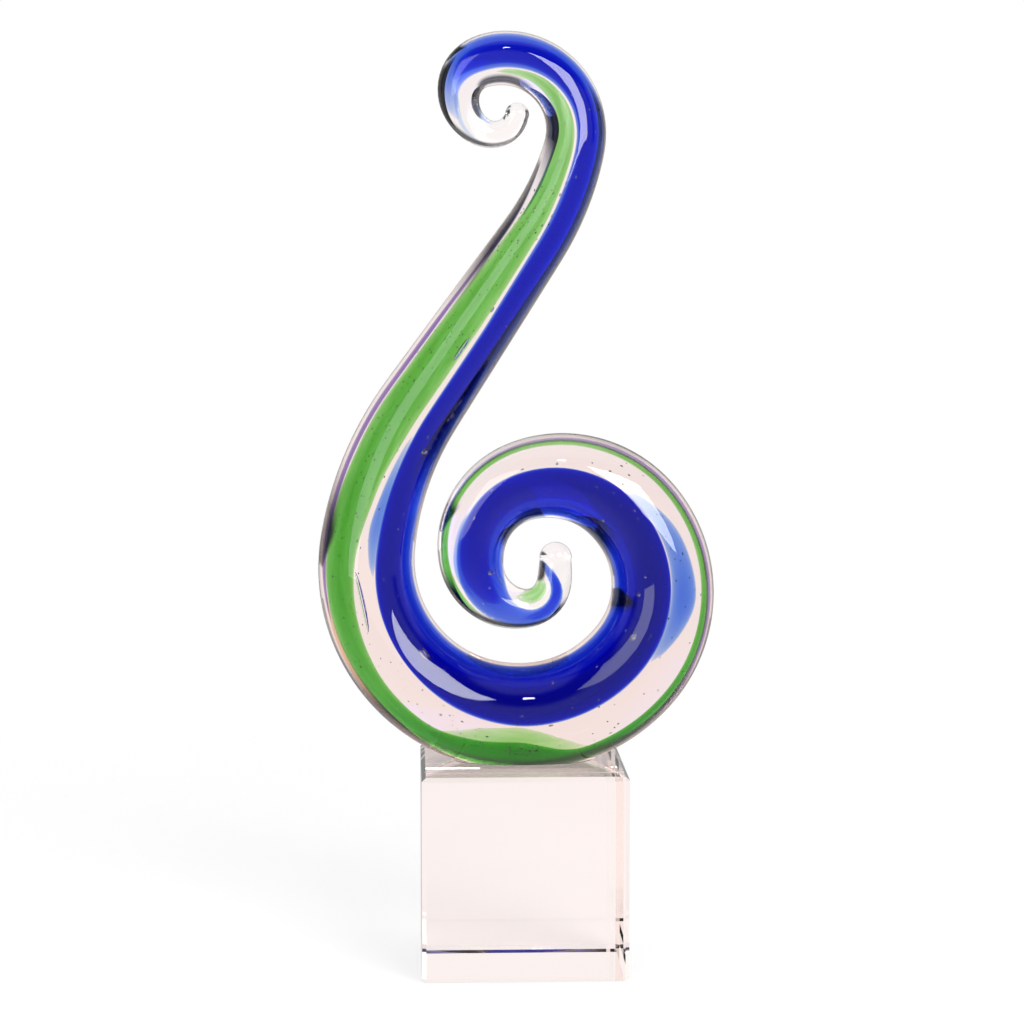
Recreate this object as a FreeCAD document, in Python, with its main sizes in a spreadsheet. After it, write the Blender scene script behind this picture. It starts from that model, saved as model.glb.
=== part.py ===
"""Glass wave sculpture: a tapering art glass rod, coiled into a wave and glued onto a crystal block.

Millimetres, +Z up, the front faces -Y. The origin is the middle of the block's underside, and the
rod's centreline lies in the plane Y = 0.
"""
import FreeCAD, Part
import math
import os
import Sketcher
from FreeCAD import Vector

doc = FreeCAD.newDocument("glass_wave_sculpture")

# Driving sizes: the block and its film, the rod's width, and the radius of each of the rod's bends
SIZES = (
    ("block_width", "60"),
    ("block_depth", "60"),
    ("block_height", "60"),
    ("block_chamfer", "1.2"),
    ("film_thickness", "0.15"),
    ("rod_width", "32.4"),
    ("foot_flat_depth", "3.75"),
    ("heel_radius", "45.85"),
    ("shoulder_radius", "94"),
    ("neck_length", "58.5"),
    ("nape_radius", "84"),
    ("crown_radius", "21"),
    ("hook_radius", "9.5"),
    ("hook_side_radius", "12.4"),
    ("hook_tip_radius", "7.05"),
    ("sole_radius", "43.65"),
    ("coil_radius", "35"),
    ("coil_top_radius", "30.7"),
    ("coil_inner_radius", "22"),
    ("coil_eye_radius", "15.5"),
    ("coil_tip_radius", "8.35"),
    ("coil_end_length", "6.8"),
)

# The rod walked from its foot: each stretch's turn to the left, as a share of a full turn, and its size
CLIMB_TURN_SHARES = (
    (-0.2708, "heel_radius"),
    (-0.0747, "shoulder_radius"),
    (0, "neck_length"),
    (0.0556, "nape_radius"),
    (0.3414, "crown_radius"),
    (0.1917, "hook_radius"),
    (0.1814, "hook_side_radius"),
    (0.2931, "hook_tip_radius"),
)
COIL_TURN_SHARES = (
    (0.1417, "sole_radius"),
    (0.2367, "coil_radius"),
    (0.1731, "coil_top_radius"),
    (0.235, "coil_inner_radius"),
    (0.2233, "coil_eye_radius"),
    (0.2361, "coil_tip_radius"),
    (0, "coil_end_length"),
)

# Sections across the rod come in pairs, a pair for each eighth of a turn or part of one
PAIR_TURN_SHARE = 0.125

# Each row of the tables below starts with its place along the rod, counted in stretches from the foot:
# above 0 up the climb, below 0 round the coil. Between two rows the shares change evenly

# The rod's width, as a share of its width at the foot
ROD_SHARES = ((-7, 0.286), (-6, 0.324), (-5, 0.34), (-4, 0.588), (-3, 0.73), (-2, 0.87), (-1, 0.99), (0, 1),
              (1, 0.867), (2, 0.769), (3, 0.633), (4, 0.55), (5, 0.471), (6, 0.388), (7, 0.247), (8, 0.21))

# The twist that the hot glass was given as it was drawn and coiled, as a share of a full turn. The
# climb's twist brings the green round to the front, and the coil's tip is twisted by almost a half turn
TWIST_SHARES = ((-7, -0.46), (-5.5, -0.42), (-5, -0.28), (-4.5, -0.12), (-4, 0), (0.5, 0.03), (1, 0.06),
                (2, 0.1), (4, 0.1), (5, 0.06), (8, 0))

# Blue core: how far it lies towards the coil's inside, half its thickness that way and half its width
# across it, as shares of the rod's radius
BLUE_SHARES = ((-6.5, 0.3, 0.12, 0.14), (-6, 0.3, 0.18, 0.2), (-5.5, 0.38, 0.18, 0.2), (-5, 0.36, 0.24, 0.27),
               (-4.5, 0.22, 0.37, 0.41), (-4, 0.2, 0.41, 0.45), (-3, 0.26, 0.38, 0.42), (0, 0.27, 0.38, 0.42),
               (0.5, 0.33, 0.31, 0.4), (1, 0.39, 0.25, 0.36), (2, 0.4, 0.24, 0.34), (3, 0.36, 0.27, 0.36),
               (4, 0.33, 0.3, 0.4), (4.5, 0.26, 0.35, 0.4), (5, 0.18, 0.39, 0.43), (5.5, 0.23, 0.32, 0.36),
               (6, 0.3, 0.18, 0.2), (6.5, 0.28, 0.1, 0.12))

# Green ribbon: the same shares, but it lies towards the coil's outside. It thins to a thread round the coil
GREEN_SHARES = ((-6, 0.2, 0.06, 0.1), (-5.5, 0.25, 0.1, 0.16), (-5, 0.45, 0.1, 0.2), (-4.5, 0.55, 0.09, 0.16),
                (-4, 0.54, 0.08, 0.16), (-3, 0.57, 0.05, 0.12), (-1.5, 0.58, 0.05, 0.12),
                (-1, 0.58, 0.06, 0.18), (0, 0.58, 0.08, 0.2), (0.5, 0.5, 0.11, 0.26), (1, 0.42, 0.12, 0.32),
                (2, 0.38, 0.12, 0.38), (3, 0.38, 0.12, 0.34), (4, 0.36, 0.11, 0.3), (4.5, 0.4, 0.08, 0.2),
                (5, 0.42, 0.04, 0.08))

# The bead that ends each tip of the rod, as a share of the rod's radius there
BEAD_SHARE = 1.04

sizes = doc.addObject("Spreadsheet::Sheet", "sizes")
for row, (alias, value) in enumerate(SIZES, start=1):
    sizes.set(f"A{row}", value)
    sizes.setAlias(f"A{row}", alias)


# Centreline of the rod: a sheet with one row for each section, worked out from the bends
path = doc.addObject("Spreadsheet::Sheet", "path")
COLUMNS = (("A", "across"), ("B", "up"), ("C", "tilt"), ("D", "rod"))
SEAT_HEIGHT = "sizes.block_height + sizes.film_thickness"


def put_row(row, texts):
    """Fill one row of the centreline's sheet and name its cells after their columns."""
    for (column, name), text in zip(COLUMNS, texts):
        path.set(f"{column}{row}", text)
        path.setAlias(f"{column}{row}", f"{name}_{row}")


def shares_at(table, place):
    """A table's shares at a place along the rod, worked out from the rows on each side of it."""
    (start, *low), (end, *high) = next(pair for pair in zip(table, table[1:]) if place <= pair[1][0])
    part = (place - start) / (end - start)
    return [first + (second - first) * part for first, second in zip(low, high)]


def walk(stretches, heading, towards_tip):
    """Rows of the sheet from the foot to one tip, each counted on from the one before it."""
    before = row_at[0]
    for number, (turn_share, alias) in enumerate(stretches):
        steps = 2 * max(1, math.ceil(abs(turn_share) / PAIR_TURN_SHARE))
        for step in range(1, steps + 1):
            last, heading = heading, heading + 360 * turn_share / steps
            if turn_share:
                bend = f"{math.copysign(1, turn_share):.0f} * sizes.{alias}"
                across = f"{bend} * (sin({heading}) - sin({last}))"
                up = f"{bend} * (cos({last}) - cos({heading}))"
            else:
                across = f"sizes.{alias} / {steps} * cos({heading})"
                up = f"sizes.{alias} / {steps} * sin({heading})"
            place = towards_tip * (number + step / steps)
            width_share, = shares_at(ROD_SHARES, place)
            row = len(row_at) + 1
            put_row(row, (f"=across_{before} + {across}", f"=up_{before} + {up}",
                          f"={towards_tip * 90 - heading}", f"=sizes.rod_width / 2 * {width_share}"))
            row_at[place] = before = row


put_row(1, ("0", f"={SEAT_HEIGHT} + sizes.rod_width / 2 - sizes.foot_flat_depth", "-90",
            "=sizes.rod_width / 2"))
row_at = {0: 1}
walk(CLIMB_TURN_SHARES, 180, 1)
walk(COIL_TURN_SHARES, 0, -1)
doc.recompute()


# Sections across the rod, each on a plane square to the centreline


def sketch_on(body, name, role):
    """An empty sketch on one of a body's own origin planes."""
    sketch = body.newObject("Sketcher::SketchObject", name)
    plane = next(plane for plane in body.Origin.OriginFeatures if plane.Role == role)
    sketch.AttachmentSupport = [(plane, "")]
    sketch.MapMode = "FlatFace"
    return sketch


def section(body, row, turn):
    """An empty sketch across the rod at a row of the sheet, turned in degrees about the centreline.

    Its X points to the coil's inside and its Y to the back, where it isn't turned.
    """
    sketch = sketch_on(body, f"{body.Name}_section_{row}", "XY_Plane")
    turned = f"rotation(vector(0; 1; 0); path.tilt_{row}) * rotation(vector(0; 0; 1); {turn})"
    sketch.setExpression("AttachmentOffset",
                         f"placement(vector(path.across_{row}; 0; path.up_{row}); {turned})")
    return sketch


def bind(sketch, name, constraint, formula):
    """Add a constraint to a sketch and bind it to a formula."""
    sketch.renameConstraint(sketch.addConstraint(constraint), name)
    sketch.setExpression(f"Constraints.{name}", formula)


def rod_section(body, row):
    """A circle as wide as the rod."""
    sketch = section(body, row, 0)
    sketch.addGeometry(Part.Circle(Vector(), Vector(0, 0, 1), path.get(f"rod_{row}")))
    sketch.addConstraint(Sketcher.Constraint("Coincident", 0, 3, -1, 1))
    bind(sketch, "radius", Sketcher.Constraint("Radius", 0, path.get(f"rod_{row}")), f"path.rod_{row}")
    return sketch


def bar_section(body, row, turn, off_share, thickness_share, width_share):
    """A lens in the rod, of two equal arcs, off the centreline towards its sketch's X."""
    sketch = section(body, row, turn)
    radius = path.get(f"rod_{row}")
    off, thick, wide = (share * radius for share in (off_share, thickness_share, width_share))
    front, back = Vector(off, -wide, 0), Vector(off, wide, 0)
    sketch.addGeometry(Part.Arc(back, Vector(off - thick, 0, 0), front))
    sketch.addGeometry(Part.Arc(front, Vector(off + thick, 0, 0), back))
    sketch.addConstraint(Sketcher.Constraint("Coincident", 0, 2, 1, 1))
    sketch.addConstraint(Sketcher.Constraint("Coincident", 1, 2, 0, 1))
    sketch.addConstraint(Sketcher.Constraint("Symmetric", 0, 1, 0, 2, -1))
    sketch.addConstraint(Sketcher.Constraint("Equal", 0, 1))
    arc_share = (width_share ** 2 + thickness_share ** 2) / (2 * thickness_share)
    bind(sketch, "off", Sketcher.Constraint("DistanceX", -1, 1, 0, 2, off), f"path.rod_{row} * {off_share}")
    bind(sketch, "width", Sketcher.Constraint("DistanceY", 0, 2, 0, 1, 2 * wide),
         f"path.rod_{row} * {2 * width_share}")
    bind(sketch, "bulge", Sketcher.Constraint("Radius", 0, arc_share * radius),
         f"path.rod_{row} * {arc_share}")
    return sketch


def centreline(body):
    """Sketch of the rod's centreline: an arc or a line for each stretch, tangent to the next one."""
    sketch = sketch_on(body, "centreline", "XZ_Plane")
    starts = []
    for stretches, towards_tip in ((CLIMB_TURN_SHARES, 1), (COIL_TURN_SHARES, -1)):
        before = None
        for number, (turn_share, alias) in enumerate(stretches):
            rows = [row_at[towards_tip * place] for place in (number, number + 0.5, number + 1)]
            start, middle, end = (Vector(path.get(f"across_{row}"), path.get(f"up_{row}"), 0) for row in rows)
            if turn_share:
                edge = sketch.addGeometry(Part.Arc(start, middle, end))
                sketch.addConstraint(Sketcher.Constraint("Angle", edge, math.tau * abs(turn_share)))
                kind = "Radius"
            else:
                edge = sketch.addGeometry(Part.LineSegment(start, end))
                kind = "Distance"
            bind(sketch, alias, Sketcher.Constraint(kind, edge, sizes.get(alias)), f"sizes.{alias}")
            near, far = (2, 1) if turn_share < 0 else (1, 2)
            if before:
                sketch.addConstraint(Sketcher.Constraint("Tangent", *before, edge, near))
            else:
                starts.append((edge, near))
            before = (edge, far)
    (heel, foot), (sole, foot_again) = starts
    sketch.addConstraint(Sketcher.Constraint("Coincident", heel, foot, sole, foot_again))
    for edge, point in ((heel, foot), (heel, 3), (sole, 3)):
        sketch.addConstraint(Sketcher.Constraint("PointOnObject", edge, point, -2))
    bind(sketch, "foot_height", Sketcher.Constraint("DistanceY", -1, 1, heel, foot, path.get("up_1")),
         "path.up_1")
    return sketch


def seal_bar(name, side, shares_table):
    """A bar sealed in the rod: a lens at each section that its table reaches, each joined to the next.

    Its side is the turn in degrees that leads to it from the coil's inside, where the glass isn't twisted.
    """
    body = doc.addObject("PartDesign::Body", name)
    lenses = [bar_section(body, row, side + 360 * shares_at(TWIST_SHARES, place)[0],
                          *shares_at(shares_table, place))
              for place, row in sorted(row_at.items()) if shares_table[0][0] <= place <= shares_table[-1][0]]
    skin = body.newObject("PartDesign::AdditiveLoft", f"{name}_loft")
    skin.Profile = (lenses[0], [""])
    skin.Sections = [(lens, [""]) for lens in lenses[1:]]
    skin.Ruled = True
    return body


# Clear rod before its foot is ground flat, with a bead on each tip
rod_blank = doc.addObject("PartDesign::Body", "rod_blank")
spine = centreline(rod_blank)
circles = [rod_section(rod_blank, row) for place, row in sorted(row_at.items())]
rod_pipe = rod_blank.newObject("PartDesign::AdditivePipe", "rod_pipe")
rod_pipe.Profile = (circles[0], [""])
rod_pipe.Spine = (spine, [])
rod_pipe.Transformation = "Multisection"
rod_pipe.Sections = [(circle, [""]) for circle in circles[1:]]
doc.recompute()
for name, place in (("coil_bead", -len(COIL_TURN_SHARES)), ("hook_bead", len(CLIMB_TURN_SHARES))):
    row = row_at[place]
    bead = rod_blank.newObject("PartDesign::AdditiveSphere", name)
    bead.setExpression("Radius", f"path.rod_{row} * {BEAD_SHARE}")
    bead.setExpression("Placement", f"placement(vector(path.across_{row}; 0; path.up_{row}); "
                                    "rotation(vector(0; 0; 1); 0))")
doc.recompute()

# Bars of coloured glass: the blue core on the coil's inner side, and the flat green ribbon across from it
blue_core = seal_bar("blue_core", 0, BLUE_SHARES)
green_ribbon = seal_bar("green_ribbon", 180, GREEN_SHARES)
doc.recompute()

# Crystal block, ground with a chamfer on every edge
crystal_block = doc.addObject("PartDesign::Body", "crystal_block")
outline = sketch_on(crystal_block, "block_outline", "XY_Plane")
half_width, half_depth = sizes.get("block_width") / 2, sizes.get("block_depth") / 2
corners = [Vector(side * half_width, end * half_depth, 0)
           for side, end in ((-1, -1), (1, -1), (1, 1), (-1, 1))]
for corner, following in zip(corners, corners[1:] + corners[:1]):
    outline.addGeometry(Part.LineSegment(corner, following))
for line in range(4):
    outline.addConstraint(Sketcher.Constraint("Coincident", line, 2, (line + 1) % 4, 1))
for line, direction in enumerate(("Horizontal", "Vertical", "Horizontal", "Vertical")):
    outline.addConstraint(Sketcher.Constraint(direction, line))
outline.addConstraint(Sketcher.Constraint("Symmetric", 0, 1, 2, 1, -1, 1))
bind(outline, "width", Sketcher.Constraint("Distance", 0, 2 * half_width), "sizes.block_width")
bind(outline, "depth", Sketcher.Constraint("Distance", 1, 2 * half_depth), "sizes.block_depth")
slab = crystal_block.newObject("PartDesign::Pad", "block_pad")
slab.Profile = outline
slab.setExpression("Length", "sizes.block_height")
doc.recompute()
bevel = crystal_block.newObject("PartDesign::Chamfer", "block_chamfer")
bevel.Base = (slab, [f"Edge{number}" for number in range(1, len(slab.Shape.Edges) + 1)])
bevel.setExpression("Size", "sizes.block_chamfer")
doc.recompute()


def block_wide_box(name, bottom, height):
    """A box over the whole block, from one height up by another."""
    box = doc.addObject("Part::Box", name)
    box.setExpression("Length", "sizes.block_width")
    box.setExpression("Width", "sizes.block_depth")
    box.setExpression("Height", height)
    box.setExpression("Placement", "placement(vector(-sizes.block_width / 2; -sizes.block_depth / 2; "
                                   f"{bottom}); rotation(vector(0; 0; 1); 0))")
    return box


def boolean(kind, name, base, tool):
    """A cut or common of two shapes."""
    result = doc.addObject(kind, name)
    result.Base, result.Tool = base, tool
    return result


# Film of clear adhesive, which fills the gap between the block's top and the rod's foot
adhesive_film = boolean("Part::Common", "adhesive_film", rod_blank,
                        block_wide_box("film_slab", "sizes.block_height", "sizes.film_thickness"))

# Clear casing: the rod with its foot ground flat, round the blue and the green glass
ground_rod = boolean("Part::Cut", "ground_rod", rod_blank,
                     block_wide_box("foot_waste", f"{SEAT_HEIGHT} - sizes.rod_width", "sizes.rod_width"))
blue_channel = boolean("Part::Cut", "blue_channel", ground_rod, blue_core)
clear_casing = boolean("Part::Cut", "clear_casing", blue_channel, green_ribbon)
doc.recompute()

# Each piece is checked and written under its own name
PIECES = (clear_casing, blue_core, green_ribbon, crystal_block, adhesive_film)
for item in doc.Objects:
    if "Invalid" in item.State or "Error" in item.State:
        raise RuntimeError(f"{item.Name} did not build: {item.State}")
os.makedirs("parts", exist_ok=True)
for piece in PIECES:
    if piece.Shape.isNull() or not piece.Shape.isValid():
        raise RuntimeError(f"{piece.Label} is not a sound solid")
    box = piece.Shape.BoundBox
    print(f"{piece.Label}: {len(piece.Shape.Solids)} solid, {piece.Shape.Volume:.0f} mm3, "
          f"{box.XLength:.1f} x {box.YLength:.1f} x {box.ZLength:.1f}")
    piece.Shape.exportStep(f"parts/{piece.Label}.step")
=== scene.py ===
"""Looks of the glass wave sculpture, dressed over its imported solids.

Metres, +Z up, the front faces -Y. The origin is the middle of the block's underside.
"""
import math

import bmesh
import bpy
import numpy as np
from mathutils import Matrix, Vector


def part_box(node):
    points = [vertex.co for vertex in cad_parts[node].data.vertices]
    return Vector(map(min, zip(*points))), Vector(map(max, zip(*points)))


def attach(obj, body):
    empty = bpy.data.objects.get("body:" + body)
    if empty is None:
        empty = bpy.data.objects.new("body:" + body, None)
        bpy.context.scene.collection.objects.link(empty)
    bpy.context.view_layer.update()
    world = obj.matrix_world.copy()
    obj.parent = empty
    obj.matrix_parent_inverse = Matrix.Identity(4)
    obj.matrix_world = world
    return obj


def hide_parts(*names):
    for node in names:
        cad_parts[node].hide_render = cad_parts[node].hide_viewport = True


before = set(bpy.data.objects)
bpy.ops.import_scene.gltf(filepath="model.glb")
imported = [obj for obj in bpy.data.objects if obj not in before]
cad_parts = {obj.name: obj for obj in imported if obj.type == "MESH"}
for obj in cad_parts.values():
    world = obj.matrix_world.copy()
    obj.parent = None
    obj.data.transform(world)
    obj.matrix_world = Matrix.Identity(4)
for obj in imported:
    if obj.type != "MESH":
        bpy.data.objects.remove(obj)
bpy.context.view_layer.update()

# Camera: in front of the block and a little to its left, looking slightly down on the sculpture with
# a long lens, so that the rod's coil is seen flat on.
CAMERA_PLACE = (-0.03518, -0.84173, 0.21689)
CAMERA_FORWARD = (0.0381, 0.9944, -0.0981)
CAMERA_LENS, CAMERA_SENSOR = 100.88, 36

camera = bpy.data.objects.new("camera", bpy.data.cameras.new("camera"))
camera.location = CAMERA_PLACE
camera.rotation_euler = Vector(CAMERA_FORWARD).to_track_quat("-Z", "Y").to_euler()
camera.data.lens, camera.data.sensor_width = CAMERA_LENS, CAMERA_SENSOR
bpy.context.scene.collection.objects.link(camera)
bpy.context.scene.camera = camera


# Crystal block: an optical glass cube, sawn, ground with a chamfer along every edge and polished. It
# is nearly colourless, with a trace of pink in its depth, and a few rubs from polishing on its faces.
BLOCK_IOR = 1.5
BLOCK_KEPT, BLOCK_DENSITY = (0.9, 0.3, 0.1, 1), 2.6
BLOCK_ROUGHNESS = 0.004
RUB_SCALE, RUB_FROM, RUB_TO, RUB_ROUGHNESS = 90, 0.6, 0.75, 0.03
WHITE = (1, 1, 1, 1)


class Shade:
    """A socket in a node tree. Arithmetic on it adds Math nodes, and node() adds any other node."""

    def __init__(self, tree, socket=None):
        self.tree, self.socket = tree, socket

    def node(self, kind, settings=None, sockets=None, output=0):
        """Add a node, set its settings, then give its sockets values or links."""
        made = self.tree.nodes.new(kind)
        for name, value in (settings or {}).items():
            setattr(made, name, value)
        for name, value in (sockets or {}).items():
            if isinstance(value, Shade):
                self.tree.links.new(value.socket, made.inputs[name])
            else:
                made.inputs[name].default_value = value
        return Shade(self.tree, made.outputs[output])

    def maths(self, operation, *values):
        return self.node("ShaderNodeMath", {"operation": operation}, dict(enumerate(values)))

    def __add__(self, other):
        return self.maths("ADD", self, other)

    def __rsub__(self, other):
        return self.maths("SUBTRACT", other, self)

    def __mul__(self, other):
        return self.maths("MULTIPLY", self, other)

    def __truediv__(self, other):
        return self.maths("DIVIDE", self, other)

    def __abs__(self):
        return self.maths("ABSOLUTE", self)

    __rmul__ = __mul__

    def rise(self, low, high, to_low=0, to_high=1):
        """The value carried smoothly from one range to another, and held at its ends."""
        return self.node("ShaderNodeMapRange", {"interpolation_type": "SMOOTHSTEP"},
                         {"Value": self, "From Min": low, "From Max": high,
                          "To Min": to_low, "To Max": to_high})

    def blend(self, low, high):
        """A colour between two, by this value."""
        return self.node("ShaderNodeMix", {"data_type": "RGBA"}, {0: self, 6: low, 7: high}, output=2)

    def noise(self, vector, scale, detail=2):
        return self.node("ShaderNodeTexNoise", {}, {"Vector": vector, "Scale": scale, "Detail": detail})


def new_material(name):
    """An empty material and the start of its node tree."""
    made = bpy.data.materials.new(name)
    made.use_nodes = True
    made.node_tree.nodes.clear()
    return made, Shade(made.node_tree)


def end_in(shade, surface, volume=None, kind="ShaderNodeOutputMaterial"):
    """Close a node tree with its output."""
    sockets = {"Surface": surface}
    if volume:
        sockets["Volume"] = volume
    made = shade.tree.nodes.new(kind)
    for name, value in sockets.items():
        shade.tree.links.new(value.socket, made.inputs[name])


def depth_colour(shade, kept, density):
    """Glass that takes more colour from the light the further it goes, but for the colour it keeps."""
    return shade.node("ShaderNodeVolumeAbsorption", {}, {"Color": kept, "Density": density})


def paint(piece, material):
    """Give a piece one material all over."""
    piece.data.materials.clear()
    piece.data.materials.append(material)


crystal, shade = new_material("polished_crystal")
place = shade.node("ShaderNodeTexCoord", output="Object")
rubs = shade.noise(place, RUB_SCALE, detail=4).rise(RUB_FROM, RUB_TO, BLOCK_ROUGHNESS, RUB_ROUGHNESS)
end_in(shade, shade.node("ShaderNodeBsdfPrincipled", {}, {
    "Base Color": WHITE, "Roughness": rubs, "IOR": BLOCK_IOR, "Transmission Weight": 1}),
    depth_colour(shade, BLOCK_KEPT, BLOCK_DENSITY))
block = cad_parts["crystal_block"]
paint(block, crystal)


# Clear casing: soft glass gathered over the two coloured bars, drawn out into a tapering rod, and
# coiled by hand while hot: a big coil below and a small hook above. Its foot is ground flat.
MM = 0.001
ROD_RADIUS = 16.2 * MM
SEAT_HEIGHT = 60.15 * MM
FOOT_FLAT_DEPTH = 3.75 * MM
# Radius and turn in degrees of each bend, or the length of a straight stretch, from the foot
CLIMB = ((45.85, -97.5), (94, -26.9), (58.5, 0), (84, 20),
         (21, 122.9), (9.5, 69), (12.4, 65.3), (7.05, 105.5))
COIL = ((43.65, -51), (35, -85.2), (30.7, -62.3), (22, -84.6), (15.5, -80.4), (8.35, -85), (6.8, 0))
# The rod's radius at the foot and at the end of each stretch, as a share of that at the foot
CLIMB_ROD_SHARES = (1, 0.867, 0.769, 0.633, 0.55, 0.471, 0.388, 0.247, 0.21)
COIL_ROD_SHARES = (1, 0.99, 0.87, 0.73, 0.588, 0.34, 0.324, 0.286)
WALK_STEP = 0.25 * MM
BEND_EASE, TAPER_EASE = 2.5 * MM, 4 * MM
# Easing the bends moves the whole rod by about a tenth of a millimetre, and this moves it back
NUDGE = np.array([-0.125, 0, -0.045]) * MM
# The bead on each tip: its radius as a share of the rod's, and the angles of its rings
BEAD_SHARE = 1.04
BEAD_ANGLES = (6, 16, 26, 36, 46, 56, 66, 75, 82, 87)
RING_STEPS, RING_SIDES = 5, 96
# How far the casing sinks into the glue, so that no gap shows between them
SINK = 0.04 * MM


def stretch_ends(stretches):
    """How far along the rod each stretch ends, counted from the foot."""
    lengths = [size * MM * (math.radians(abs(turn)) if turn else 1) for size, turn in stretches]
    return np.concatenate([[0], np.cumsum(lengths)])


def ease(values, reach):
    """Round the corners of a curve of even steps, over about the given reach."""
    steps = int(4 * reach / WALK_STEP)
    bell = np.exp(-0.5 * (np.arange(-steps, steps + 1) * WALK_STEP / reach) ** 2)
    longer = np.pad(values, steps, mode="reflect", reflect_type="odd")
    return np.convolve(longer, bell / bell.sum(), mode="valid")


climb_ends, coil_ends = stretch_ends(CLIMB), stretch_ends(COIL)
rod_ends = np.concatenate([-coil_ends[:0:-1], climb_ends])
stretch_numbers = np.arange(-len(COIL), len(CLIMB) + 1)
along = np.arange(-round(coil_ends[-1] / WALK_STEP), round(climb_ends[-1] / WALK_STEP) + 1) * WALK_STEP
foot = int(np.argmin(abs(along)))
climb_headings = np.concatenate([[180], 180 + np.cumsum([turn for _, turn in CLIMB])])
coil_headings = np.concatenate([[180], 180 - np.cumsum([turn for _, turn in COIL])])
headings = np.concatenate([coil_headings[:0:-1], climb_headings])
heading = np.radians(ease(np.interp(along, rod_ends, headings), BEND_EASE))
steps = np.stack([np.cos(heading), 0 * heading, np.sin(heading)], 1) * WALK_STEP
centres = np.cumsum(steps, 0)
centres += np.array([0, 0, SEAT_HEIGHT + ROD_RADIUS - FOOT_FLAT_DEPTH]) + NUDGE - centres[foot]
inwards = np.stack([np.sin(heading), 0 * heading, -np.cos(heading)], 1)
BACKWARDS = np.array([0, 1, 0])
tapers = COIL_ROD_SHARES[:0:-1] + CLIMB_ROD_SHARES
rod_radii = ROD_RADIUS * ease(np.interp(along, rod_ends, tapers), TAPER_EASE)


def skin(name, rings):
    """A closed mesh over rings of points, each of as many, with a fan over each end."""
    count, sides = len(rings), len(rings[0])
    points = np.concatenate([np.concatenate(rings), [rings[0].mean(0)], [rings[-1].mean(0)]])
    faces = []
    for ring in range(count - 1):
        low, high = ring * sides, (ring + 1) * sides
        faces += [(low + side, low + (side + 1) % sides, high + (side + 1) % sides, high + side)
                  for side in range(sides)]
    last = (count - 1) * sides
    faces += [(count * sides, (side + 1) % sides, side) for side in range(sides)]
    faces += [(count * sides + 1, last + side, last + (side + 1) % sides) for side in range(sides)]
    mesh = bpy.data.meshes.new(name)
    mesh.from_pydata(points.tolist(), [], faces)
    work = bmesh.new()
    work.from_mesh(mesh)
    bmesh.ops.recalc_face_normals(work, faces=work.faces)
    work.to_mesh(mesh)
    work.free()
    mesh.shade_smooth()
    piece = bpy.data.objects.new(name, mesh)
    bpy.context.scene.collection.objects.link(piece)
    return piece


def across(station, inward, backward):
    """Points square across the rod at a station, from their places inwards and backwards."""
    return centres[station] + np.outer(inward, inwards[station]) + np.outer(backward, BACKWARDS)


turn = np.linspace(0, 2 * math.pi, RING_SIDES, endpoint=False)
stations = np.arange(0, len(along), RING_STEPS)
rings = [across(station, rod_radii[station] * np.cos(turn), rod_radii[station] * np.sin(turn))
         for station in stations]


def bead(station, outwards):
    """Rings of the round end of the rod, from its widest to its pole."""
    ahead = outwards * np.cross(inwards[station], BACKWARDS)
    radius = BEAD_SHARE * rod_radii[station]
    made = []
    for angle in np.radians(BEAD_ANGLES):
        wide, far = radius * math.cos(angle), radius * math.sin(angle)
        made.append(across(station, wide * np.cos(turn), wide * np.sin(turn)) + far * ahead)
    return made


rings = bead(stations[0], -1)[::-1] + rings + bead(stations[-1], 1)
casing = skin("casing_glass", rings)
work = bmesh.new()
work.from_mesh(casing.data)
cut = bmesh.ops.bisect_plane(work, geom=work.verts[:] + work.edges[:] + work.faces[:],
                             plane_co=(0, 0, SEAT_HEIGHT - SINK), plane_no=(0, 0, -1), clear_outer=True)
rim = [item for item in cut["geom_cut"] if isinstance(item, bmesh.types.BMEdge)]
flat = bmesh.ops.contextual_create(work, geom=rim)["faces"]
for face in flat:
    face.smooth = False
for edge in rim:
    edge.smooth = False
bmesh.ops.recalc_face_normals(work, faces=work.faces)
work.to_mesh(casing.data)
work.free()

CASING_IOR = 1.5
CASING_KEPT, CASING_DENSITY = (0.88, 0.3, 0.12, 1), 11
HAND_WAVE_SCALE, HAND_WAVE_DEPTH = 45, 0.05 * MM
BREATH_SCALE, BREATH_FROM, BREATH_TO, BREATH_ROUGHNESS = 160, 0.55, 0.8, 0.02
clear_glass, shade = new_material("hand_worked_clear_glass")
place = shade.node("ShaderNodeTexCoord", output="Object")
breath = shade.noise(place, BREATH_SCALE, detail=3).rise(BREATH_FROM, BREATH_TO, 0, BREATH_ROUGHNESS)
waves = shade.node("ShaderNodeBump", {}, {"Strength": 1, "Distance": HAND_WAVE_DEPTH,
                                          "Height": shade.noise(place, HAND_WAVE_SCALE, detail=1)})
end_in(shade, shade.node("ShaderNodeBsdfPrincipled", {}, {
    "Base Color": WHITE, "Roughness": breath, "IOR": CASING_IOR, "Transmission Weight": 1,
    "Normal": waves}), depth_colour(shade, CASING_KEPT, CASING_DENSITY))
paint(casing, clear_glass)
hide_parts("clear_casing")
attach(casing, "root")


# Adhesive film: clear ultraviolet-cured glue that fills the gap between the block's top and the
# rod's ground foot. It touches both, so light passes from the one glass to the other.
FILM_IOR = 1.5
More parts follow.
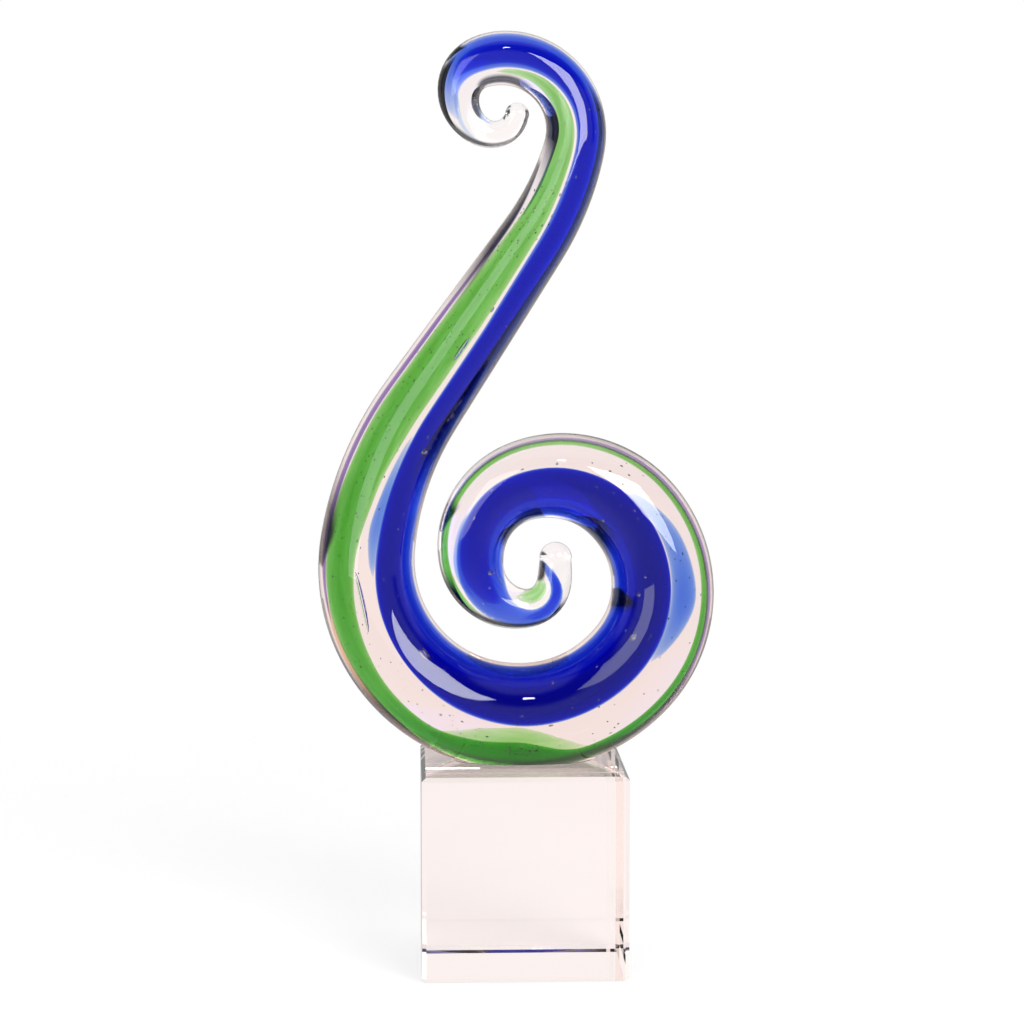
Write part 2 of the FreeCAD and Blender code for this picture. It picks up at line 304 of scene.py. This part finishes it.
# The film's outline is that of the rod's ground foot, drawn in at the two buried edges
FLAT_BELOW = SEAT_HEIGHT - 0.9 * SINK
INSET_SHARE = 0.98
GLUE_TINT, GLUE_TINT_SCALE = (0.97, 0.98, 0.97, 1), 300
RIPPLE_SCALE, RIPPLE_FROM, RIPPLE_TO, RIPPLE_ROUGHNESS = 900, 0.4, 0.8, 0.05
film_low, film_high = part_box("adhesive_film")
flat_points = np.array([point.co for point in casing.data.vertices if point.co.z < FLAT_BELOW])
flat_points = flat_points[np.argsort(np.arctan2(flat_points[:, 1], flat_points[:, 0]))]
film_edge = ((INSET_SHARE, film_low.z - SINK), (1, film_low.z),
             (1, film_high.z), (INSET_SHARE, film_high.z + SINK))
film_rings = [flat_points * (share, share, 0) + (0, 0, height) for share, height in film_edge]
film = skin("glue_line", film_rings)
glue, shade = new_material("cured_clear_glue")
place = shade.node("ShaderNodeTexCoord", output="Object")
end_in(shade, shade.node("ShaderNodeBsdfPrincipled", {}, {
    "Base Color": shade.noise(place, GLUE_TINT_SCALE).blend(GLUE_TINT, WHITE),
    "Roughness": shade.noise(place, RIPPLE_SCALE).rise(RIPPLE_FROM, RIPPLE_TO, 0, RIPPLE_ROUGHNESS),
    "IOR": FILM_IOR, "Transmission Weight": 1}))
paint(film, glue)
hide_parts("adhesive_film")
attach(film, "root")


# Blue core: a thick bar of cobalt blue glass sealed in the casing on the coil's inner side. It is
# drawn out with the rod, so it narrows and has streaks along its length, and it ends in the hook.
BLUE_KEPT, BLUE_DENSITY, BLUE_STREAK = (0.02, 0.3, 0.92, 1), 600, (0.9, 0.92, 1, 1)
# Place along the rod, counted in stretches from the foot (below 0 in the coil), then as shares of the
# rod's radius: how far inwards and how far backwards, half the width inwards, half of it backwards
BLUE_SHARES = (
    (-7, 0.64, 0, 0.08, 0.2), (-6.75, 0.5, 0, 0.14, 0.36), (-6.5, 0.32, 0, 0.2, 0.42),
    (-6, -0.1, 0, 0.24, 0.5), (-5.5, -0.37, 0, 0.22, 0.5), (-5, -0.35, 0, 0.25, 0.42),
    (-4.75, -0.17, 0, 0.37, 0.35), (-4.5, 0.03, 0, 0.5, 0.4), (-4.25, 0.13, 0, 0.53, 0.42),
    (-4, 0.17, 0, 0.49, 0.42), (-3.5, 0.23, 0, 0.42, 0.42), (-3, 0.26, 0, 0.39, 0.42),
    (-2, 0.27, 0, 0.38, 0.42), (-1, 0.26, 0, 0.38, 0.42), (0, 0.27, 0, 0.38, 0.42),
    (0.25, 0.29, 0, 0.35, 0.42), (0.5, 0.33, 0, 0.31, 0.4), (0.75, 0.36, 0, 0.28, 0.38),
    (1, 0.39, 0, 0.25, 0.36), (1.5, 0.4, 0, 0.24, 0.34), (2.5, 0.4, 0, 0.24, 0.34),
    (3, 0.36, 0, 0.27, 0.36), (3.5, 0.34, 0, 0.29, 0.38), (4, 0.33, 0, 0.3, 0.4),
    (4.25, 0.32, 0, 0.32, 0.4), (4.5, 0.26, 0, 0.35, 0.42), (4.75, 0.2, 0, 0.41, 0.42),
    (5, 0.18, 0, 0.43, 0.42), (5.25, 0.2, 0, 0.41, 0.4), (5.5, 0.23, 0, 0.38, 0.35),
    (5.75, 0.27, 0, 0.32, 0.25), (6, 0.3, 0, 0.26, 0.14), (6.5, 0.28, 0, 0.2, 0.06),
)
BAR_STEPS, BAR_SIDES, BAR_EASE = 6, 64, 2.5 * MM
# Below 1 the section is fuller at its corners. Each end closes over a few rings, from a small first one.
BAR_CORNER, END_RINGS, FIRST_RING = 0.85, 3, 0.3
STREAK_LENGTH, STREAK_SCALE, STREAK_FROM, STREAK_TO = 150 * MM, 9, 0.35, 0.65


def bar(name, shares):
    """A bar sealed in the rod: its rounded section follows a table of shares along the rod.

    Each point also keeps where it was before the bar was drawn out, for the streaks.
    """
    table = np.array(shares, float)
    spots = np.interp(table[:, 0], stretch_numbers, rod_ends)
    inside = (along > spots[0] - WALK_STEP) & (along < spots[-1] + WALK_STEP)
    columns = [ease(np.interp(along, spots, column), BAR_EASE) for column in table[:, 1:].T]
    angle = np.linspace(0, 2 * math.pi, BAR_SIDES, endpoint=False)
    round_x = np.sign(np.cos(angle)) * abs(np.cos(angle)) ** BAR_CORNER
    round_y = np.sign(np.sin(angle)) * abs(np.sin(angle)) ** BAR_CORNER
    made, drawn = [], []
    picked = np.arange(len(along))[inside][::BAR_STEPS]
    for number, station in enumerate(picked):
        inward, backward, wide, deep = (column[station] for column in columns)
        end = min(number, len(picked) - 1 - number)
        shrink = math.sin(min(1, (end + FIRST_RING) / END_RINGS) * math.pi / 2)
        made.append(across(station, rod_radii[station] * (inward + shrink * wide * round_x),
                           rod_radii[station] * (backward + shrink * deep * round_y)))
        drawn += [(x, y, along[station] / STREAK_LENGTH)
                  for x, y in zip(inward + wide * round_x, deep * round_y)]
    piece = skin(name, made)
    drawn += [drawn[0], drawn[-1]]
    piece.data.attributes.new("drawn", "FLOAT_VECTOR", "POINT").data.foreach_set("vector", np.ravel(drawn))
    return piece


def drawn_glass(name, kept, density, streak):
    """Coloured glass in clear glass: no bending between the two, and streaks drawn along the bar."""
    made, shade = new_material(name)
    place = shade.node("ShaderNodeAttribute", {"attribute_name": "drawn"}, output="Vector")
    streaks = shade.noise(place, STREAK_SCALE, detail=4).rise(STREAK_FROM, STREAK_TO)
    end_in(shade, shade.node("ShaderNodeBsdfPrincipled", {}, {
        "Base Color": streaks.blend(streak, WHITE), "Roughness": 0, "IOR": 1,
        "Transmission Weight": 1}), depth_colour(shade, kept, density))
    return made


blue = bar("blue_bar", BLUE_SHARES)
paint(blue, drawn_glass("cobalt_blue_glass", BLUE_KEPT, BLUE_DENSITY, BLUE_STREAK))
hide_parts("blue_core")
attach(blue, "root")


# Depth of the blue core: the bar was gathered twice, so it is darker in its middle and on the side
# away from the coil's inside, from the coil to the hook. Faint blue veils trail off into the clear.
DEPTH_KEPT, DEPTH_DENSITY, DEPTH_STREAK = (0, 0.1, 0.9, 1), 520, (0.95, 0.96, 1, 1)
DEPTH_SHARES = (
    (-4.6, 0, 0, 0.15, 0.2), (-4.3, 0.03, 0, 0.25, 0.3), (-4, 0.06, 0, 0.3, 0.36),
    (-3.5, 0.1, 0, 0.26, 0.36), (-3, 0.12, 0, 0.24, 0.36), (0, 0.13, 0, 0.22, 0.36),
    (0.5, 0.2, 0, 0.18, 0.34), (1, 0.32, 0, 0.16, 0.3), (2.5, 0.36, 0, 0.17, 0.26),
    (3.5, 0.31, 0, 0.2, 0.28), (4.25, 0.27, 0, 0.22, 0.3), (4.75, 0.16, 0, 0.27, 0.32),
    (5, 0.13, 0, 0.27, 0.3), (5.5, 0.19, 0, 0.2, 0.2), (5.8, 0.25, 0, 0.1, 0.08),
)
VEIL_KEPT, VEIL_DENSITY, VEIL_STREAK = (0.1, 0.45, 0.97, 1), 800, (0.9, 0.94, 1, 1)
VEILS = (
    ("veil_by_foot", (
        (-2.1, -0.12, 0.1, 0.04, 0.03), (-1.75, -0.24, 0.1, 0.12, 0.08), (-1.4, -0.28, 0.1, 0.16, 0.12),
        (-1.05, -0.14, 0.1, 0.03, 0.03))),
    ("veil_on_climb", (
        (0.88, 0.08, 0, 0.03, 0.03), (1.1, 0.08, 0, 0.1, 0.1), (1.35, 0.12, 0, 0.08, 0.1),
        (1.8, 0.14, 0, 0.02, 0.02))),
    ("veil_in_coil", (
        (-4.3, -0.3, 0, 0.06, 0.06), (-4, -0.28, 0, 0.13, 0.1), (-3.75, -0.24, 0, 0.08, 0.06),
        (-3.5, -0.22, 0, 0.03, 0.03))),
    ("veil_at_hook", (
        (5.9, 0.1, -0.1, 0.1, 0.06), (6.2, 0.05, -0.1, 0.09, 0.05), (6.6, 0.3, 0, 0.1, 0.05),
        (7.1, 0.5, 0, 0.05, 0.04))),
    ("veil_at_tip", (
        (-6.6, 0.2, 0, 0.08, 0.1), (-6, -0.1, 0, 0.18, 0.24), (-5.5, -0.37, 0, 0.17, 0.24),
        (-4.9, -0.3, 0, 0.1, 0.15))),
    ("veil_in_curl", (
        (6.05, -0.5, 0, 0.03, 0.03), (6.35, -0.57, 0, 0.08, 0.12), (6.9, -0.57, 0, 0.09, 0.14),
        (7.3, -0.54, 0, 0.03, 0.03))),
)
depth = bar("blue_depth", DEPTH_SHARES)
paint(depth, drawn_glass("dark_blue_glass", DEPTH_KEPT, DEPTH_DENSITY, DEPTH_STREAK))
veil_glass = drawn_glass("veil_blue_glass", VEIL_KEPT, VEIL_DENSITY, VEIL_STREAK)
for name, shares in VEILS:
    veil = bar(name, shares)
    paint(veil, veil_glass)
    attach(veil, "root")
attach(depth, "root")


# Green ribbon: a flat bar of leaf green glass sealed on the other side of the rod, thin enough to
# show pale streaks. The rod is twisted as it climbs, which turns the ribbon's face to the front.
GREEN_KEPT, GREEN_DENSITY, GREEN_STREAK = (0.25, 0.78, 0.05, 1), 900, (0.72, 0.84, 0.6, 1)
# Place along the rod and the same shares as the core's
GREEN_SHARES = (
    (-4.5, -0.48, 0.2, 0.02, 0.03), (-4.3, -0.54, 0.1, 0.09, 0.12), (-4.1, -0.56, 0, 0.1, 0.16),
    (-3.8, -0.57, 0, 0.08, 0.14), (-3.5, -0.57, 0, 0.065, 0.12), (-3, -0.58, 0, 0.05, 0.08),
    (-2, -0.575, 0, 0.045, 0.07), (-1.5, -0.57, 0, 0.045, 0.1), (-1, -0.57, 0, 0.05, 0.16),
    (-0.5, -0.58, 0, 0.07, 0.2), (-0.3, -0.58, 0, 0.08, 0.18), (-0.15, -0.52, 0, 0.15, 0.18),
    (0, -0.48, 0, 0.19, 0.18), (0.15, -0.51, 0, 0.16, 0.17), (0.3, -0.53, 0, 0.12, 0.15),
    (0.5, -0.48, 0, 0.13, 0.12), (0.75, -0.42, 0, 0.18, 0.12), (1, -0.36, 0, 0.23, 0.12),
    (1.25, -0.32, 0, 0.27, 0.12), (1.5, -0.28, 0, 0.28, 0.12), (1.75, -0.25, 0, 0.31, 0.12),
    (2, -0.24, 0, 0.32, 0.12), (2.5, -0.22, 0, 0.32, 0.12), (3, -0.22, 0, 0.27, 0.12),
    (3.5, -0.23, 0, 0.23, 0.12), (4, -0.23, 0, 0.21, 0.11), (4.25, -0.24, 0, 0.19, 0.1),
    (4.5, -0.27, 0, 0.14, 0.09), (4.75, -0.32, 0, 0.08, 0.07), (4.9, -0.34, 0, 0.04, 0.04),
)
# Paler green over the foot, where the ribbon was pressed thin, and inside the coil's tip
PALE_KEPT, PALE_DENSITY, PALE_STREAK = (0.4, 0.85, 0.2, 1), 420, (0.8, 0.9, 0.7, 1)
PALE_PIECES = (
    ("green_fringe", (
        (-0.4, -0.5, 0.1, 0.03, 0.02), (-0.2, -0.38, 0.1, 0.14, 0.1), (0, -0.32, 0.1, 0.2, 0.12),
        (0.15, -0.36, 0.1, 0.17, 0.1), (0.3, -0.48, 0.1, 0.03, 0.02))),
    ("green_in_tip", (
        (-6.15, 0.5, 0.1, 0.08, 0.05), (-5.8, 0.44, 0.1, 0.3, 0.3), (-5.3, 0.42, 0.1, 0.34, 0.32),
        (-5.05, 0.38, 0.1, 0.26, 0.22), (-4.75, 0.3, 0.1, 0.06, 0.05))),
)
green = bar("green_bar", GREEN_SHARES)
paint(green, drawn_glass("leaf_green_glass", GREEN_KEPT, GREEN_DENSITY, GREEN_STREAK))
pale_glass = drawn_glass("pale_green_glass", PALE_KEPT, PALE_DENSITY, PALE_STREAK)
for name, shares in PALE_PIECES:
    pale_piece = bar(name, shares)
    paint(pale_piece, pale_glass)
    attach(pale_piece, "root")
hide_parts("green_ribbon")
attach(green, "root")


# Threads: fine lines of tinted glass, left where the casing was gathered over the ribbon: an amber
# one just under the rod's outer side and a teal one beside the ribbon's edge. Two violet lines just
# under the rod's outer side are painted shade: they draw the dark rim along the rod's outer edge.
THREAD_AND_RIM_STREAK = (0.85, 0.88, 0.9, 1)
# Name, colour kept, density, then place and the same shares as the core's
THREADS_AND_RIM_SHADE = (
    # The violet lines are painted shade: the dark rim along the outer edge of the coil and of the climb
    ("painted_rim_shade_on_coil", (0.45, 0.25, 0.7, 1), 1200, (
        (-4, -0.64, 0, 0.01, 0.03), (-3.6, -0.64, 0, 0.02, 0.1), (-0.7, -0.64, 0, 0.02, 0.1),
        (-0.4, -0.64, 0, 0.01, 0.03))),
    ("painted_rim_shade_on_climb", (0.45, 0.25, 0.7, 1), 1600, (
        (0.75, -0.64, 0, 0.01, 0.03), (0.95, -0.64, 0, 0.02, 0.1), (2.4, -0.63, 0, 0.025, 0.12),
        (2.9, -0.6, 0, 0.01, 0.04))),
    ("amber_thread", (0.95, 0.62, 0.35, 1), 700, (
        (0.25, -0.62, 0, 0.01, 0.03), (0.4, -0.63, 0, 0.03, 0.1), (0.7, -0.63, 0, 0.03, 0.1),
        (0.85, -0.62, 0, 0.01, 0.03))),
    ("teal_thread", (0.05, 0.4, 0.5, 1), 1500, (
        (3.1, -0.42, 0.1, 0.01, 0.02), (3.5, -0.41, 0.1, 0.025, 0.08), (4.1, -0.42, 0.1, 0.025, 0.08),
        (4.5, -0.46, 0.1, 0.01, 0.02))),
)
for name, kept, density, shares in THREADS_AND_RIM_SHADE:
    thread_or_rim_shade = bar(name, shares)
    paint(thread_or_rim_shade, drawn_glass(name + "_glass", kept, density, THREAD_AND_RIM_STREAK))
    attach(thread_or_rim_shade, "root")


# Seed bubbles: air caught in the glass as it was gathered and drawn, so most are stretched along the
# rod. A few stand out, one of them very long, and many are as fine as dust, with specks of ash.
AIR_IN_GLASS_IOR = 0.667
# Place, inward and forward shares, and half the width and half the length in millimetres
SEEDS = (
    (-4.1, 0.45, 0.6, 0.6, 0.8), (-2.1, 0.5, 0.5, 0.4, 0.6), (-1.45, 0.48, 0.6, 0.6, 0.7),
    (-1.15, 0.4, 0.7, 0.9, 1.4), (-0.3, 0.6, 0.5, 0.5, 0.5), (0.5, 0.45, 0.6, 0.9, 2),
    (1.75, 0.55, 0.5, 1.1, 1.2), (2.05, 0.66, 0.4, 0.6, 1), (2.6, 0.1, 0.8, 0.3, 0.9),
    (0.3, -0.2, 0.7, 0.25, 0.4), (-2.7, -0.3, 0.6, 0.3, 0.4), (0.8, -0.13, 0.6, 0.6, 9),
    (2.35, 0.02, 0.5, 0.5, 4),
)
# Chance grains: how many, half their width in millimetres, from and to which place along the rod, and
# how far they spread outwards and inwards of the centreline
DUST = (70, (0.1, 0.25), -4.5, 4.5, 0.6, 0.6)
SPECKS = (
    (130, (0.08, 0.2), -2.5, 3.5, 0.65, 0.1),
    (25, (0.08, 0.2), -0.12, 0.05, 0.5, -0.36),
    (220, (0.06, 0.14), 0.1, 3.6, 0.6, -0.1),
)
FORWARD_SHARES, STRETCH_SHARES = (0.1, 0.6), (1.2, 3)
BUBBLE_ROUNDNESS, SPECK_ROUNDNESS = 3, 1
AIR_TINT, AIR_TINT_SCALE = (0.96, 0.97, 0.98, 1), 900
ASH_DARK, ASH_PALE = (0.02, 0.03, 0.02, 1), (0.09, 0.12, 0.08, 1)
ASH_SCALE, ASH_ROUGHNESS = 1500, 0.8
CHANCE_SEED = 4
chance = np.random.default_rng(CHANCE_SEED)


def grains(name, spots, roundness):
    """One mesh of long round grains in the rod.

    Each spot is its place, inward and forward shares, half its width and half its length.
    """
    work = bmesh.new()
    for place, inward, forward, wide, far in spots:
        station = int(np.argmin(abs(along - np.interp(place, stretch_numbers, rod_ends))))
        ahead = np.cross(inwards[station], BACKWARDS)
        middle = across(station, [inward * rod_radii[station]], [-forward * rod_radii[station]])[0]
        axes = Matrix((inwards[station] * wide * MM, BACKWARDS * wide * MM, ahead * far * MM)).transposed()
        bmesh.ops.create_icosphere(work, subdivisions=roundness, radius=1,
                                   matrix=Matrix.Translation(middle) @ axes.to_4x4())
    bmesh.ops.recalc_face_normals(work, faces=work.faces)
    mesh = bpy.data.meshes.new(name)
    work.to_mesh(mesh)
    work.free()
    mesh.shade_smooth()
    piece = bpy.data.objects.new(name, mesh)
    bpy.context.scene.collection.objects.link(piece)
    return piece


def scatter(count, sizes, from_place, to_place, outer, inner):
    """Chance grains in the front half of the rod, between two places along it."""
    spots = []
    for _ in range(count):
        wide = chance.uniform(*sizes)
        spots.append((chance.uniform(from_place, to_place), chance.uniform(-outer, inner),
                      chance.uniform(*FORWARD_SHARES), wide, wide * chance.uniform(*STRETCH_SHARES)))
    return spots


bubbles = grains("seed_bubbles", SEEDS + tuple(scatter(*DUST)), BUBBLE_ROUNDNESS)
air, shade = new_material("air_in_glass")
place = shade.node("ShaderNodeTexCoord", output="Object")
end_in(shade, shade.node("ShaderNodeBsdfPrincipled", {}, {
    "Base Color": shade.noise(place, AIR_TINT_SCALE).blend(AIR_TINT, WHITE), "Roughness": 0,
    "IOR": AIR_IN_GLASS_IOR, "Transmission Weight": 1}))
paint(bubbles, air)
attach(bubbles, "root")

specks = grains("ash_specks", [spot for group in SPECKS for spot in scatter(*group)], SPECK_ROUNDNESS)
ash, shade = new_material("ash")
place = shade.node("ShaderNodeTexCoord", output="Object")
end_in(shade, shade.node("ShaderNodeBsdfPrincipled", {}, {
    "Base Color": shade.noise(place, ASH_SCALE).blend(ASH_DARK, ASH_PALE), "Roughness": ASH_ROUGHNESS}))
paint(specks, ash)
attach(specks, "root")


# Studio: a pale floor that runs off into white and keeps a soft shadow under the sculpture. The walls
# are white too. A few dark parts of the room, which only the glass sees, draw the rims of clear glass.
FLOOR_REACH, FLOOR_DROP = 6, 0.15 * MM
FLOOR_COLOUR, FLOOR_GRAIN_SCALE = (0.97, 0.97, 0.97, 1), 40
SHADOW_SHARE = 0.3
FADE_FROM, FADE_TO = 0.12, 0.45
# Seen through the glass, the floor has a dark part behind the sculpture and to its right, which draws
# the climb's dark rim. It stays in one place: where its soft edges begin and end, along X and along Y
DARK_ACROSS, DARK_BACK = (0.2, 0.27, 0.55, 0.65), (0.06, 0.11, 0.4, 0.5)
DARK_LEVEL = 0.04
# The room is dimmer where a surface mirrors it
MIRROR_LEVEL = 0.5


def ray_kinds(shade):
    """Whether the camera sees the surface itself, through glass, or mirrored in something."""
    seen = shade.node("ShaderNodeLightPath", output="Is Camera Ray")
    through = shade.node("ShaderNodeLightPath", output="Is Transmission Ray")
    return seen, through, shade.node("ShaderNodeLightPath", output="Is Glossy Ray") * (1 - through)


floor = bpy.data.objects.new("floor", bpy.data.meshes.new("floor"))
floor.data.from_pydata([(x * FLOOR_REACH, y * FLOOR_REACH, -FLOOR_DROP)
                        for x, y in ((-1, -1), (1, -1), (1, 1), (-1, 1))], [], [(0, 1, 2, 3)])
bpy.context.scene.collection.objects.link(floor)
pale, shade = new_material("pale_floor")
place = shade.node("ShaderNodeTexCoord", output="Object")
distance = shade.node("ShaderNodeVectorMath", {"operation": "LENGTH"}, {0: place}, output="Value")
seen, through, mirrored = ray_kinds(shade)
white_share = distance.rise(FADE_FROM, FADE_TO, 1 - SHADOW_SHARE, 1) * (seen + through + mirrored)
dark = through
for axis, (begin, full, fade, end) in (("X", DARK_ACROSS), ("Y", DARK_BACK)):
    spot = shade.node("ShaderNodeSeparateXYZ", {}, {0: place}, output=axis)
    dark = dark * spot.rise(begin, full) * (1 - spot.rise(fade, end))
level = (1 - dark * (1 - DARK_LEVEL)) * (1 - mirrored * (1 - MIRROR_LEVEL))
grain = shade.noise(place, FLOOR_GRAIN_SCALE, detail=3).blend(FLOOR_COLOUR, WHITE)
end_in(shade, shade.node("ShaderNodeMixShader", {}, {
    0: shade.maths("MAXIMUM", white_share, dark),
    1: shade.node("ShaderNodeBsdfDiffuse", {}, {"Color": grain}),
    2: shade.node("ShaderNodeEmission", {}, {"Color": WHITE, "Strength": level})}))
paint(floor, pale)

# Through the glass, the ceiling is dark from this high up to the light overhead, and the walls are
# grey in a gap at each side, all as sines from level and from straight ahead or behind
CEILING_FROM, CEILING_TO, OVERHEAD_FROM, OVERHEAD_TO, CEILING_LEVEL = 0.42, 0.6, 0.8, 0.9, 0.12
GAP_FROM, GAP_TO, GAP_END, GAP_LEVEL = 0.84, 0.93, 0.98, 0.25
# The even light that the room gives to matt surfaces
AMBIENT = 0.75
world = bpy.data.worlds.new("studio")
bpy.context.scene.world = world
world.use_nodes = True
world.node_tree.nodes.clear()
shade = Shade(world.node_tree)
way = shade.node("ShaderNodeTexCoord", output="Generated")
across_way, ahead_way, up_way = (shade.node("ShaderNodeSeparateXYZ", {}, {0: way}, output=axis)
                                 for axis in ("X", "Y", "Z"))
level_length = shade.maths("SQRT", across_way * across_way + ahead_way * ahead_way)
sideways = abs(across_way) / level_length
gap = sideways.rise(GAP_FROM, GAP_TO) * (1 - sideways.rise(GAP_TO, GAP_END))
ceiling = up_way.rise(CEILING_FROM, CEILING_TO) * (1 - up_way.rise(OVERHEAD_FROM, OVERHEAD_TO))
room = (1 - gap * (1 - GAP_LEVEL)) * (1 - ceiling * (1 - CEILING_LEVEL))
seen, through, mirrored = ray_kinds(shade)
ambient = AMBIENT * (1 - through) * (1 - mirrored)
level = seen + (1 - seen) * (ambient + through * room + mirrored * room * MIRROR_LEVEL)
end_in(shade, shade.node("ShaderNodeBackground", {}, {"Color": WHITE, "Strength": level}),
       kind="ShaderNodeOutputWorld")

# Softboxes: width, height, place, power and the height on the sculpture that each is aimed at
SOFTBOXES = (
    ("softbox_left", 0.5, 1, (-0.62, -0.95, 0.4), 4, 0.15),
    ("softbox_right", 0.6, 0.7, (0.5, -0.95, 0.6), 13, 0.15),
    ("window_light", 0.06, 0.06, (-0.01, -0.75, 0.95), 0.5, 0.15),
)
for name, width, height, spot, power, aim in SOFTBOXES:
    lamp = bpy.data.objects.new(name, bpy.data.lights.new(name, "AREA"))
    lamp.data.shape, lamp.data.size, lamp.data.size_y = "RECTANGLE", width, height
    lamp.data.energy = power
    lamp.location = spot
    lamp.rotation_euler = (Vector((0, 0, aim)) - lamp.location).to_track_quat("-Z", "Y").to_euler()
    bpy.context.scene.collection.objects.link(lamp)

# Black cards beside the hook, from one place on the floor plan to another. They begin softly at their
# lower edge. Only the glass sees them, and they draw dark rims on the hook.
CARDS = (("card_right", (0.14, 0.25), (0.24, 0.05)), ("card_left", (-0.14, 0.25), (-0.24, 0.05)))
CARD_FROM, CARD_SOLID, CARD_TOP = 0.14, 0.22, 0.45
CARD_DARK, CARD_PALE, CARD_SCALE = (0.005, 0.005, 0.006, 1), (0.012, 0.012, 0.014, 1), 60
black, shade = new_material("black_card")
place = shade.node("ShaderNodeTexCoord", output="Object")
height = shade.node("ShaderNodeSeparateXYZ", {}, {0: place}, output="Z")
end_in(shade, shade.node("ShaderNodeMixShader", {}, {
    0: height.rise(CARD_FROM, CARD_SOLID),
    1: shade.node("ShaderNodeBsdfTransparent"),
    2: shade.node("ShaderNodeBsdfDiffuse", {}, {
        "Color": shade.noise(place, CARD_SCALE).blend(CARD_DARK, CARD_PALE)})}))
for name, (from_x, from_y), (to_x, to_y) in CARDS:
    card = bpy.data.objects.new(name, bpy.data.meshes.new(name))
    card.data.from_pydata([(from_x, from_y, CARD_FROM), (to_x, to_y, CARD_FROM), (to_x, to_y, CARD_TOP),
                           (from_x, from_y, CARD_TOP)], [], [(0, 1, 2, 3)])
    bpy.context.scene.collection.objects.link(card)
    card.visible_camera = card.visible_shadow = card.visible_diffuse = card.visible_glossy = False
    paint(card, black)

bpy.context.scene.view_settings.view_transform = "Standard"
